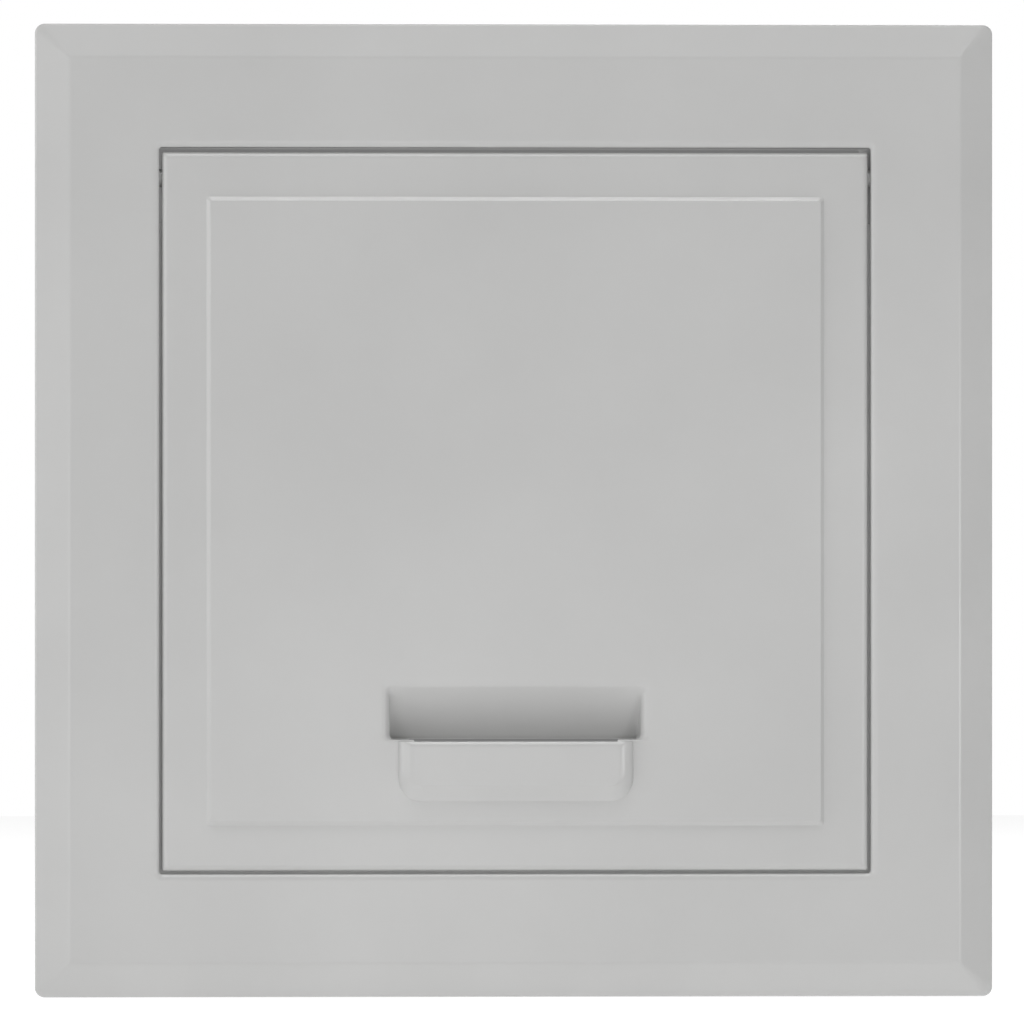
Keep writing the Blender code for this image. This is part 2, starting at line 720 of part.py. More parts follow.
def add_hood(guides):
    """The hood in front of the scoop's lower end, sunk into the door's skin."""
    loops = [hood_loop(SINK - DOOR_SKIN, 0.0, 0.0, 0.0)]
    loops += [hood_loop(*section) for section in hood_sections()]
    return loft("hood", loops, guides)


def add_hood_hollow(guides):
    """The room behind the hood, open to the back and up to the scoop."""
    loops = [hood_room_loop(DOOR_BACK_Y + CUT_PAST, 0.0, 0.0)]
    for height, side, foot, _ in hood_sections():
        loops.append(hood_room_loop(FIELD_Y - height + PULL_WALL, side, foot))
    return loft("hood_hollow", loops, guides)


def make_door(parts, guides):
    """Door with its raised field, skirt, ribs, finger pull and snap bumps in one."""
    door = loft("door", door_loops(), parts)
    upright_ribs, cross_ribs = add_door_ribs(guides)
    for guide in (upright_ribs, cross_ribs, add_door_bosses(guides), add_snap_bumps(guides)):
        join_or_cut(door, guide, "UNION")
    for shape in (add_door_lugs, add_scoop_shell, add_hood):
        join_or_cut(door, shape(guides), "UNION")
    for shape in (add_scoop_hollow, add_hood_hollow, add_door_bores):
        join_or_cut(door, shape(guides), "DIFFERENCE")
    finish_piece(door, plastic("door_plastic", DOOR_COLOUR))
    return door


def pin_profile():
    """Half the pin's outline, from its outer end to its nose, for turning about Z."""
    radius = PIN_DIAMETER / 2
    outer = FRAME_BOSS_END_X - PIN_END_CLEARANCE
    inner = BORE_END_X + PIN_END_CLEARANCE
    half = (outer - inner) / 2
    return [
        Vector((0, 0, half)),
        Vector((radius - PIN_CHAMFER / 2, 0, half)),
        Vector((radius, 0, half - PIN_CHAMFER / 2)),
        Vector((radius, 0, PIN_CHAMFER - half)),
        Vector((radius - PIN_CHAMFER, 0, -half)),
        Vector((0, 0, -half)),
    ]


def make_pin(name, side, parts):
    """One turned hinge pin, its nose in the door and its outer end in the frame's boss."""
    bm = bmesh.new()
    points = [bm.verts.new(p) for p in pin_profile()]
    for start, end in zip(points, points[1:]):
        bm.edges.new((start, end))
    mesh = bpy.data.meshes.new(name)
    bm.to_mesh(mesh)
    bm.free()
    pin = bpy.data.objects.new(name, mesh)
    parts.objects.link(pin)
    turn = pin.modifiers.new("turn", "SCREW")
    turn.axis = "Z"
    turn.angle = 2 * pi
    turn.steps = BORE_SIDES
    turn.render_steps = BORE_SIDES
    turn.use_merge_vertices = True
    turn.merge_threshold = 0.00001
    middle = (FRAME_BOSS_END_X + BORE_END_X) / 2
    pin.location = (side * middle, HINGE_Y, HINGE_Z)
    pin.rotation_euler = (0, side * pi / 2, 0)
    finish_piece(pin, plastic(f"{name}_plastic", PIN_COLOUR))
    return pin


def main():
    """Build the panel with its door shut."""
    clear_scene()
    parts = new_collection("access_panel")
    guides = new_collection("guides")
    make_frame(parts, guides)
    door = make_door(parts, guides)
    make_pin("hinge_pin_left", -1, parts)
    make_pin("hinge_pin_right", 1, parts)
    hinge = bpy.data.objects.new("door_hinge", None)
    hinge.location = (0.0, HINGE_Y, HINGE_Z)
    parts.objects.link(hinge)
    door.parent = hinge
    door.matrix_parent_inverse = Matrix.Translation(hinge.location).inverted()


main()
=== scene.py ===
import json
from math import atan, cos, degrees, pi, radians, sin, sqrt, tan

import bmesh
import bpy
from mathutils import Matrix, Vector


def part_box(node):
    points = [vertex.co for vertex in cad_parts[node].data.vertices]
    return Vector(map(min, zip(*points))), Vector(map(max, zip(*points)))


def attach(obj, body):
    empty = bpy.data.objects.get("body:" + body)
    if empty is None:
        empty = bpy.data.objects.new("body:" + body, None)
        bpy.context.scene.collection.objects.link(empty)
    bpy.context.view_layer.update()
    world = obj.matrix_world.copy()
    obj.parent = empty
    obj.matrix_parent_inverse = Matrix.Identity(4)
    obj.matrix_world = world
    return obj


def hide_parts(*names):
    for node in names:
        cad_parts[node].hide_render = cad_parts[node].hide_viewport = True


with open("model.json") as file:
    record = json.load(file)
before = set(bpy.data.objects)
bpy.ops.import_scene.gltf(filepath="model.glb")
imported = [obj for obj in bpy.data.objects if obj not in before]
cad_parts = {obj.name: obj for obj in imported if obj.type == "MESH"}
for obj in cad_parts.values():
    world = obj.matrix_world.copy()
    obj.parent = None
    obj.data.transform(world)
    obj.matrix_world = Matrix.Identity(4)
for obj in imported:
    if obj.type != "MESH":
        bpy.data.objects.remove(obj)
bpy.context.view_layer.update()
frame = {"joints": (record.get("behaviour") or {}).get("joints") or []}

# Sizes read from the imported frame, in metres
FRAME_LOW, FRAME_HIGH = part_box("frame")
DOOR_LOW, DOOR_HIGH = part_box("door")
PIN_LOW, PIN_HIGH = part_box("hinge_pin_right")
HINGE = Vector(frame["joints"][0]["pos_m"])

OUTER_HALF_WIDTH = FRAME_HIGH.x
OUTER_HALF_HEIGHT = FRAME_HIGH.z
COLLAR_DEPTH = FRAME_HIGH.y
FACE_Y = FRAME_LOW.y
DOOR_HALF_WIDTH = DOOR_HIGH.x
DOOR_TOP = DOOR_HIGH.z
DOOR_BOTTOM = DOOR_LOW.z
DOOR_BACK_Y = DOOR_HIGH.y
HOOD_Y = DOOR_LOW.y

# Frame
BORDER_WIDTH = 0.0257
BEVEL_WIDTH = 0.0070
CREASE_RADIUS = 0.0025
OUTER_CORNER_RADIUS = 0.0020
BEVEL_CORNER_RADIUS = 0.0005
OPENING_CORNER_RADIUS = 0.0006
OPENING_ROLL_RADIUS = 0.0016
OPENING_ROLL_DEPTH = 0.0009
RIM_HEIGHT = 0.0016
RIM_FOOT_WIDTH = 0.0018
RIM_ROUND_RADIUS = 0.0005
FLANGE_WALL = 0.0018
COLLAR_WALL = 0.0020
COLLAR_LEAD_IN = 0.0008
OPENING_HALF_WIDTH = OUTER_HALF_WIDTH - BORDER_WIDTH
OPENING_HALF_HEIGHT = OUTER_HALF_HEIGHT - BORDER_WIDTH
FLANGE_UNDERSIDE_Y = FACE_Y + FLANGE_WALL
BEVEL_START = BORDER_WIDTH - BEVEL_WIDTH
BEVEL_SLOPE = (-FACE_Y - RIM_HEIGHT) / BEVEL_WIDTH

KEY_RIB_COUNT = 4
KEY_RIB_THICKNESS = 0.0016
KEY_RIB_END_MARGIN = 0.0180
KEY_RIB_PROUD = 0.0010
KEY_RIB_LENGTH = 0.0150
KEY_RIB_TAPER = 0.0030
KEY_RIB_BELOW_RIM = 0.0005

FIXING_HOLE_DIAMETER = 0.0042
FIXING_HEAD_DIAMETER = 0.0076
FIXING_HEAD_DEPTH = 0.0014
FIXING_HOLE_DEPTH = 0.0140

# Door
DOOR_CORNER_RADIUS = 0.0005
DOOR_EDGE_RADIUS = 0.0013
FIELD_SIDE_MARGIN = 0.0092
FIELD_TOP_MARGIN = 0.0093
FIELD_BOTTOM_MARGIN = 0.0094
FIELD_RAISE = 0.0008
FIELD_STEP_WIDTH = 0.0008
FIELD_STEP_ROUND = 0.0003
FIELD_CORNER_RADIUS = 0.0006
FIELD_Y = FACE_Y - FIELD_RAISE
FIELD_HALF_WIDTH = DOOR_HALF_WIDTH - FIELD_SIDE_MARGIN
FIELD_TOP = DOOR_TOP - FIELD_TOP_MARGIN
FIELD_BOTTOM = DOOR_BOTTOM + FIELD_BOTTOM_MARGIN

DOOR_SKIN = 0.0022
DOOR_SKIN_Y = FACE_Y + DOOR_SKIN
STEP_BEHIND_FIELD = 0.0011
DOOR_SKIRT_WALL = 0.0018
SKIRT_TO_LEDGE = 0.0006
SKIRT_BELOW_DOOR_TOP = 0.0004
DOOR_RIB_THICKNESS = 0.0014
DOOR_RIB_DEPTH = 0.0065
DOOR_RIB_SIDE_PLACE = 0.0420
DOOR_RIB_UPPER_PLACE = 0.0400
DOOR_RIB_MIDDLE_PLACE = 0.0020

# Stop ledge behind the door's rim, and the snap bumps that sit behind the ledge
LEDGE_WIDTH = 0.0024
LEDGE_THICKNESS = 0.0014
LEDGE_TO_DOOR = 0.0003
LEDGE_BELOW_HINGE = 0.0095
LEDGE_FRONT_Y = DOOR_SKIN_Y + LEDGE_TO_DOOR
SKIRT_HALF_WIDTH = OPENING_HALF_WIDTH - LEDGE_WIDTH - SKIRT_TO_LEDGE
SKIRT_TOP = DOOR_TOP - SKIRT_BELOW_DOOR_TOP
SKIRT_BOTTOM = LEDGE_WIDTH + SKIRT_TO_LEDGE - OPENING_HALF_HEIGHT
SNAP_PLACE = 0.0380
SNAP_LENGTH = 0.0120
SNAP_RADIUS = 0.0009
SNAP_PROUD = 0.0003
SNAP_BEHIND_LEDGE = 0.0003
SNAP_Y = LEDGE_FRONT_Y + LEDGE_THICKNESS + SNAP_BEHIND_LEDGE + SNAP_RADIUS

# Hinge
BORE_CLEARANCE = 0.0002
PIN_RADIUS = (PIN_HIGH.z - PIN_LOW.z) / 2
PIN_CHAMFER = 0.0006
PIN_END_CLEARANCE = 0.0003
BORE_RADIUS = PIN_RADIUS + BORE_CLEARANCE
HINGE_BOSS_WALL = 0.0015
HINGE_BOSS_RADIUS = BORE_RADIUS + HINGE_BOSS_WALL
BORE_END_X = PIN_LOW.x - PIN_END_CLEARANCE
BORE_END_WALL = 0.0016
LUG_INSIDE_DOOR_EDGE = 0.0002
FRAME_BOSS_END_X = PIN_HIGH.x + PIN_END_CLEARANCE

# Finger pull
PULL_ABOVE_FIELD_FOOT = 0.0179
SCOOP_WIDTH = 0.0565
SCOOP_HEIGHT = 0.0133
SCOOP_CHEEK_WIDTH = 0.0021
SCOOP_CHEEK_DEPTH = 0.0020
SCOOP_CHEEK_DRAFT = 0.08
SCOOP_ANGLE = radians(30.0)
SCOOP_EASE_RUN = 0.0035
SCOOP_BRIM_WIDTH = 0.0019
SCOOP_BRIM_DEPTH = 0.0002
SCOOP_BRIM_TURN_RADIUS = 0.0010
SCOOP_FLOOR_CURVE = radians(11.0)
SCOOP_END_HEIGHT = 0.0003
SCOOP_CORNER_RADIUS = 0.0011
SCOOP_CORNER_SHARE = 0.33
SCOOP_MOUTH_ROUND = 0.0004
PULL_WALL = 0.0016
HOOD_WIDTH = 0.0490
HOOD_HEIGHT = 0.0130
HOOD_RAISE = FIELD_Y - HOOD_Y
HOOD_SIDE_SLOPE = 0.0033
HOOD_FOOT_SLOPE = 0.0034
HOOD_SIDE_WALL = 0.0024
HOOD_CORNER_RADIUS = 0.0050
HOOD_LIP_RADIUS = 0.0016
HOOD_TOP_CORNER_RADIUS = 0.0006
SLOT_Z = FIELD_BOTTOM + PULL_ABOVE_FIELD_FOOT
SCOOP_TOP = SLOT_Z + SCOOP_HEIGHT

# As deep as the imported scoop, whose floor eases in and then runs straight to its end
SCOOP_EASE_DEPTH = SCOOP_EASE_RUN * tan(SCOOP_ANGLE / 2)
SCOOP_DEPTH = SCOOP_EASE_DEPTH + (SCOOP_HEIGHT - SCOOP_EASE_RUN) * tan(SCOOP_ANGLE)

# Fineness, how far joined shapes sink into each other and how far cuts run past
CORNER_STEPS = 10
ROLL_STEPS = 10
EASE_STEPS = 5
HOOD_STEPS = 20
FLOOR_STEPS = 20
BORE_SIDES = 64
SINK = 0.0006
CUT_PAST = 0.0020
MERGE_DISTANCE = 0.00001

# Plastic: colours and roughness, then the noise that varies them, heights in metres.
# The noise keeps near the middle of its range, so the roughness stays below 0.27: across
# that value the denoiser gives the haze hard edges.
MOULDING_COLOUR = (0.52, 0.52, 0.515)
PIN_COLOUR = (0.50, 0.50, 0.495)
FRAME_ROUGHNESS = 0.24
DOOR_ROUGHNESS = 0.23
PIN_ROUGHNESS = 0.22
ROUGHNESS_SPREAD = 0.04
REFRACTIVE_INDEX = 1.49
DARKEST_TINT = 0.93
LIGHTEST_TINT = 1.07
MOTTLE_SCALE = 22.0
MOTTLE_DETAIL = 3.0
HAZE_SCALE = 25.0
HAZE_DETAIL = 2.0
WAVE_SCALE = 30.0
WAVE_DETAIL = 1.0
WAVE_HEIGHT = 0.00012
WAVE_STRENGTH = 0.6
GRAIN_SCALE = 2600.0
GRAIN_DETAIL = 2.0
GRAIN_HEIGHT = 0.000006
GRAIN_STRENGTH = 0.5

# Stage: what the floor, the hollow and the world show, and the light that they give
FLOOR_HALF_SIZE = 3.0
FLOOR_BELOW_FRAME = 0.0004
FLOOR_SHOWN_GREY = 0.30
FLOOR_SHOWN_GLOW = 0.88
FLOOR_BOUNCE_GREY = 0.72
FLOOR_BOUNCE_GLOW = 0.60
# The plane behind the collar: to the camera it shows painted shade, a dim grey glow that stands
# in for the shaded inside seen through the gaps and the slot; to other rays it glows to light
# the inside as a room would.
HOLLOW_BEHIND_COLLAR = 0.0001
PAINTED_SHADE_GREY = 0.15
PAINTED_SHADE_GLOW = 0.13
HOLLOW_ROOM_GLOW = 1.1
WORLD_SHOWN_GLOW = 1.0
WORLD_SOFT_GLOW = 0.12

# Rays that see an object, a mirror image of it or what lies behind clear things
SEEING_RAYS = ("Is Camera Ray", "Is Glossy Ray", "Is Transmission Ray")

# Picture, the sensor's width in millimetres
PICTURE_WIDTH = 0.2134
CAMERA_DISTANCE = 5.0
CAMERA_TURN = radians(-4.5)
CAMERA_ASIDE = -0.0004
CAMERA_UP = -0.0003
CAMERA_NEAR = 0.05
CAMERA_FAR = 20.0
SENSOR_WIDTH = 36.0


def new_collection(name):
    """A collection of the scene."""
    collection = bpy.data.collections.new(name)
    bpy.context.scene.collection.children.link(collection)
    return collection


PIECES = new_collection("panel")
GUIDES = new_collection("guides")
STAGE = new_collection("stage")


def add_object(name, bm, collection=GUIDES):
    """Close a bmesh with its faces pointing out and put it in a collection."""
    bmesh.ops.recalc_face_normals(bm, faces=bm.faces)
    mesh = bpy.data.meshes.new(name)
    bm.to_mesh(mesh)
    bm.free()
    piece = bpy.data.objects.new(name, mesh)
    collection.objects.link(piece)
    return piece


def join_or_cut(piece, guide, operation):
    """Join a guide's shape to a piece, or cut it away."""
    guide.hide_render = True
    guide.display_type = "WIRE"
    modifier = piece.modifiers.new(f"{operation} {guide.name}", "BOOLEAN")
    modifier.operation = operation
    modifier.solver = "EXACT"
    modifier.object = guide


def bake_shape(piece):
    """Replace a piece's mesh by what its modifiers make, and drop the guides it used."""
    depsgraph = bpy.context.evaluated_depsgraph_get()
    mesh = bpy.data.meshes.new_from_object(piece.evaluated_get(depsgraph))
    guides = [m.object for m in piece.modifiers if m.type == "BOOLEAN"]
    piece.modifiers.clear()
    piece.data = mesh
    mesh.name = piece.name
    for guide in guides:
        bpy.data.objects.remove(guide, do_unlink=True)


def smooth(piece, angle=35):
    """Smooth the round faces, keep the sharp edges and keep the flat faces flat."""
    piece.data.shade_smooth()
    piece.data.set_sharp_from_angle(angle=radians(angle))
    weigh = piece.modifiers.new("flat faces stay flat", "WEIGHTED_NORMAL")
    weigh.keep_sharp = True
    weigh.weight = 100


def arc(centre_out, centre_y, radius, start, end, steps=ROLL_STEPS):
    """Points (out, y) along a round stretch of a section, angles in degrees."""
    turns = [radians(start + (end - start) * i / steps) for i in range(steps + 1)]
    return [(centre_out + radius * cos(a), centre_y + radius * sin(a)) for a in turns]


def rectangle_loop(half_width, bottom, top, y, radius, top_radius=None):
    """Points of a rectangle with round corners at the depth y, from its right foot up."""
    above = radius if top_radius is None else top_radius
    corners = (
        (half_width, bottom, -90, radius),
        (half_width, top, 0, above),
        (-half_width, top, 90, above),
        (-half_width, bottom, 180, radius),
    )
    points = []
    for x, z, start, r in corners:
        centre_x = x - r if x > 0 else x + r
        centre_z = z - r if z == top else z + r
        for i in range(CORNER_STEPS + 1):
            a = radians(start + 90 * i / CORNER_STEPS)
            points.append(Vector((centre_x + r * cos(a), y, centre_z + r * sin(a))))
    return points


def loft(name, loops, collection=GUIDES, ring=False):
    """Skin loops of equally many points: a ring of them, or a body with two end faces."""
    bm = bmesh.new()
    rows = [[bm.verts.new(p) for p in loop] for loop in loops]
    pairs = list(zip(rows, rows[1:]))
    if ring:
        pairs.append((rows[-1], rows[0]))
    else:
        bm.faces.new(rows[0])
        bm.faces.new(rows[-1])
    for row, following in pairs:
        for i in range(len(row)):
            j = (i + 1) % len(row)
            bm.faces.new((row[i], row[j], following[j], following[i]))
    return add_object(name, bm, collection)


def plate(bm, outline, move):
    """Add a flat outline to bm and push a copy of it out by move."""
    face = bm.faces.new([bm.verts.new(p) for p in outline])
    pushed = bmesh.ops.extrude_face_region(bm, geom=[face], use_keep_orig=True)["geom"]
    corners = [part for part in pushed if isinstance(part, bmesh.types.BMVert)]
    bmesh.ops.translate(bm, verts=corners, vec=move)


def block(bm, low, high):
    """Add a box between two opposite corners to bm."""
    low, high = Vector(low), Vector(high)
    place = Matrix.Translation((low + high) / 2) @ Matrix.Diagonal((*(high - low), 1.0))
    bmesh.ops.create_cube(bm, size=1.0, matrix=place)


def rod(bm, centre, radius, length, end_radius=None):
    """Add a cylinder or cone to bm, lying along X about its centre."""
    turn = Matrix.Rotation(pi / 2, 4, "Y")
    bmesh.ops.create_cone(
        bm,
        cap_ends=True,
        segments=BORE_SIDES,
        radius1=radius,
        radius2=radius if end_radius is None else end_radius,
        depth=length,
        matrix=Matrix.Translation(centre) @ turn,
    )


def even_places(half_length, end_margin, count):
    """Places spread evenly between the two ends of a side."""
    reach = half_length - end_margin
    return [reach * (2 * i / (count - 1) - 1) for i in range(count)]


def moulded_plastic(name, colour, roughness):
    """Half-gloss moulded plastic: faint mottling, fine grain and slow waviness."""
    material = bpy.data.materials.new(name)
    material.use_nodes = True
    nodes = material.node_tree.nodes
    links = material.node_tree.links
    shader = nodes["Principled BSDF"]
    shader.inputs["IOR"].default_value = REFRACTIVE_INDEX
    place = nodes.new("ShaderNodeTexCoord")

    def noise(scale, detail):
        texture = nodes.new("ShaderNodeTexNoise")
        texture.inputs["Scale"].default_value = scale
        texture.inputs["Detail"].default_value = detail
        links.new(place.outputs["Object"], texture.inputs["Vector"])
        return texture.outputs["Fac"]

    def bump(relief, height, strength):
        node = nodes.new("ShaderNodeBump")
        node.inputs["Distance"].default_value = height
        node.inputs["Strength"].default_value = strength
        links.new(relief, node.inputs["Height"])
        return node

    tint = nodes.new("ShaderNodeMix")
    tint.data_type = "RGBA"
    tint.inputs["A"].default_value = (*[c * DARKEST_TINT for c in colour], 1.0)
    tint.inputs["B"].default_value = (*[c * LIGHTEST_TINT for c in colour], 1.0)
    links.new(noise(MOTTLE_SCALE, MOTTLE_DETAIL), tint.inputs["Factor"])
    links.new(tint.outputs["Result"], shader.inputs["Base Color"])

    haze = nodes.new("ShaderNodeMapRange")
    haze.inputs["To Min"].default_value = roughness - ROUGHNESS_SPREAD
    haze.inputs["To Max"].default_value = roughness + ROUGHNESS_SPREAD
    links.new(noise(HAZE_SCALE, HAZE_DETAIL), haze.inputs["Value"])
    links.new(haze.outputs["Result"], shader.inputs["Roughness"])

    waves = bump(noise(WAVE_SCALE, WAVE_DETAIL), WAVE_HEIGHT, WAVE_STRENGTH)
    grain = bump(noise(GRAIN_SCALE, GRAIN_DETAIL), GRAIN_HEIGHT, GRAIN_STRENGTH)
    links.new(waves.outputs["Normal"], grain.inputs["Normal"])
    links.new(grain.outputs["Normal"], shader.inputs["Normal"])
    return material


def dress(piece, material, body, node):
    """Give a finished piece its material and tie it to the frame."""
    piece.data.materials.clear()
    piece.data.materials.append(material)
    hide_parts(node)
    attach(piece, body)


def frame_section():
    """The frame's section as (out from the opening, y, corner radius) points."""
    tilt = atan(BEVEL_SLOPE)
    crease = arc(
        BEVEL_START - CREASE_RADIUS * tan(tilt / 2),
        FACE_Y + CREASE_RADIUS,
        CREASE_RADIUS,
        270,
        270 + degrees(tilt),
    )
    rim_centre = BORDER_WIDTH - RIM_ROUND_RADIUS
    rim_contact = rim_centre + RIM_ROUND_RADIUS * sin(tilt)
    rim_y = FACE_Y + BEVEL_SLOPE * (rim_contact - BEVEL_START) + RIM_ROUND_RADIUS * cos(tilt)
    rim = arc(rim_centre, rim_y, RIM_ROUND_RADIUS, 270 + degrees(tilt), 360)
    foot_inner = BORDER_WIDTH - RIM_FOOT_WIDTH
    foot_top_y = FLANGE_UNDERSIDE_Y + BEVEL_SLOPE * (foot_inner - BEVEL_START)
    roll = arc(
        OPENING_ROLL_RADIUS, FACE_Y + OPENING_ROLL_RADIUS, OPENING_ROLL_RADIUS, 180, 270
    )
    flatten = OPENING_ROLL_DEPTH / OPENING_ROLL_RADIUS
    roll = [(out, FACE_Y + flatten * (y - FACE_Y)) for out, y in roll]
    collar_corner = OPENING_CORNER_RADIUS + COLLAR_WALL
    section = [(0.0, COLLAR_DEPTH, OPENING_CORNER_RADIUS)]
    section += [(out, y, OPENING_CORNER_RADIUS + out) for out, y in roll]
    section += [(out, y, BEVEL_CORNER_RADIUS) for out, y in crease]
    section += [(out, y, OUTER_CORNER_RADIUS) for out, y in rim]
    section += [
        (BORDER_WIDTH, 0.0, OUTER_CORNER_RADIUS),
        (foot_inner, 0.0, BEVEL_CORNER_RADIUS),
        (foot_inner, foot_top_y, BEVEL_CORNER_RADIUS),
        (BEVEL_START, FLANGE_UNDERSIDE_Y, BEVEL_CORNER_RADIUS),
        (COLLAR_WALL, FLANGE_UNDERSIDE_Y, collar_corner),
        (COLLAR_WALL, COLLAR_DEPTH - COLLAR_LEAD_IN, collar_corner),
        (COLLAR_WALL - COLLAR_LEAD_IN, COLLAR_DEPTH, collar_corner),
    ]
    return section


def frame_loops():
    """One round-cornered rectangle for each point of the frame's section."""
    loops = []
    for out, y, radius in frame_section():
        half_height = OPENING_HALF_HEIGHT + out
        loops.append(
            rectangle_loop(OPENING_HALF_WIDTH + out, -half_height, half_height, y, radius)
        )
    return loops


def key_rib_outline():
    """Outline of a rib that stiffens the flange and grips the filler round the collar."""
    top = -KEY_RIB_BELOW_RIM
    inside_flange = FLANGE_UNDERSIDE_Y - SINK
    foot = BORDER_WIDTH - RIM_FOOT_WIDTH + SINK
    under_bevel = inside_flange + BEVEL_SLOPE * (foot - BEVEL_START)
    crest = COLLAR_WALL + KEY_RIB_PROUD
    root = COLLAR_WALL - SINK
    return [
        (root, inside_flange),
        (BEVEL_START, inside_flange),
        (foot, under_bevel),
        (foot, top),
        (crest, top),
        (crest, KEY_RIB_LENGTH - KEY_RIB_TAPER),
        (COLLAR_WALL, KEY_RIB_LENGTH),
        (root, KEY_RIB_LENGTH),
    ]


def add_key_ribs():
    """Ribs on all four sides, each standing across the collar's outer face."""
    bm = bmesh.new()
    half = KEY_RIB_THICKNESS / 2
    for side in (-1, 1):
        for place in even_places(OPENING_HALF_WIDTH, KEY_RIB_END_MARGIN, KEY_RIB_COUNT):
            outline = [
                Vector((place - half, y, side * (OPENING_HALF_HEIGHT + out)))
                for out, y in key_rib_outline()
            ]
            plate(bm, outline, Vector((KEY_RIB_THICKNESS, 0, 0)))
        for place in even_places(OPENING_HALF_HEIGHT, KEY_RIB_END_MARGIN, KEY_RIB_COUNT):
            outline = [
                Vector((side * (OPENING_HALF_WIDTH + out), y, place - half))
                for out, y in key_rib_outline()
            ]
            plate(bm, outline, Vector((0, 0, KEY_RIB_THICKNESS)))
    return add_object("key_ribs", bm)


def ledge_outline():
    """Section of the stop ledge: a shelf for the door's rim with a bracket behind it."""
    back = LEDGE_FRONT_Y + LEDGE_THICKNESS
    return [
        (-LEDGE_WIDTH, LEDGE_FRONT_Y),
        (SINK, LEDGE_FRONT_Y),
        (SINK, back + LEDGE_WIDTH),
        (0.0, back + LEDGE_WIDTH),
        (-LEDGE_WIDTH, back),
    ]


def add_side_ledges():
    """Stop ledges on the collar's two side walls, ending short of the hinge."""
    bm = bmesh.new()
    foot = -OPENING_HALF_HEIGHT - SINK
    rise = HINGE.z - LEDGE_BELOW_HINGE - foot
    for side in (-1, 1):
        outline = [
            Vector((side * (OPENING_HALF_WIDTH + out), y, foot))
            for out, y in ledge_outline()
        ]
        plate(bm, outline, Vector((0, 0, rise)))
    return add_object("side_ledges", bm)


def add_bottom_ledge():
    """Stop ledge along the collar's lower wall."""
    bm = bmesh.new()
    reach = OPENING_HALF_WIDTH + SINK
    outline = [
        Vector((-reach, y, -OPENING_HALF_HEIGHT - out)) for out, y in ledge_outline()
    ]
    plate(bm, outline, Vector((2 * reach, 0, 0)))
    return add_object("bottom_ledge", bm)


def add_rods(name, inner, outer, radius):
    """A rod along the hinge line on each side, from inner to outer distance."""
    bm = bmesh.new()
    for side in (-1, 1):
        rod(bm, Vector((side * (inner + outer) / 2, HINGE.y, HINGE.z)), radius, outer - inner)
    return add_object(name, bm)


def fixing_places():
    """Heights of the fixing holes, midway between neighbouring ribs at each end."""
    ribs = even_places(OPENING_HALF_HEIGHT, KEY_RIB_END_MARGIN, KEY_RIB_COUNT)
    return ((ribs[0] + ribs[1]) / 2, (ribs[-2] + ribs[-1]) / 2)


def add_fixing_holes():
    """Holes through the collar's side walls for the installer's screws."""
    bm = bmesh.new()
    length = COLLAR_WALL + 2 * CUT_PAST
    for side in (-1, 1):
        x = side * (OPENING_HALF_WIDTH + COLLAR_WALL / 2)
        for z in fixing_places():
            rod(bm, Vector((x, FIXING_HOLE_DEPTH, z)), FIXING_HOLE_DIAMETER / 2, length)
    return add_object("fixing_holes", bm)


def add_fixing_sinks():
    """Countersinks for the screws' heads, on the inner side of the collar."""
    bm = bmesh.new()
    head = FIXING_HEAD_DIAMETER / 2
    hole = FIXING_HOLE_DIAMETER / 2
    flare = (head - hole) / FIXING_HEAD_DEPTH
    wide = head + flare * CUT_PAST
    length = FIXING_HEAD_DEPTH + CUT_PAST
    for side in (-1, 1):
        x = side * (OPENING_HALF_WIDTH + (FIXING_HEAD_DEPTH - CUT_PAST) / 2)
        for z in fixing_places():
            low_x, high_x = (wide, hole) if side > 0 else (hole, wide)
            rod(bm, Vector((x, FIXING_HOLE_DEPTH, z)), low_x, length, high_x)
    return add_object("fixing_sinks", bm)


def make_frame():
    """Flange and collar in one moulding."""
    piece = loft("frame_moulding", frame_loops(), PIECES, ring=True)
    collar_outside = OPENING_HALF_WIDTH + COLLAR_WALL
    bosses = add_rods(
        "frame_bosses", collar_outside - SINK, FRAME_BOSS_END_X, HINGE_BOSS_RADIUS
    )
    bores = add_rods(
        "frame_bores",
        OPENING_HALF_WIDTH - CUT_PAST,
        FRAME_BOSS_END_X + CUT_PAST,
        BORE_RADIUS,
    )
    for guide in (add_key_ribs(), add_side_ledges(), add_bottom_ledge(), bosses):
        join_or_cut(piece, guide, "UNION")
    for guide in (bores, add_fixing_holes(), add_fixing_sinks()):
        join_or_cut(piece, guide, "DIFFERENCE")
    bake_shape(piece)
    smooth(piece)
    return piece


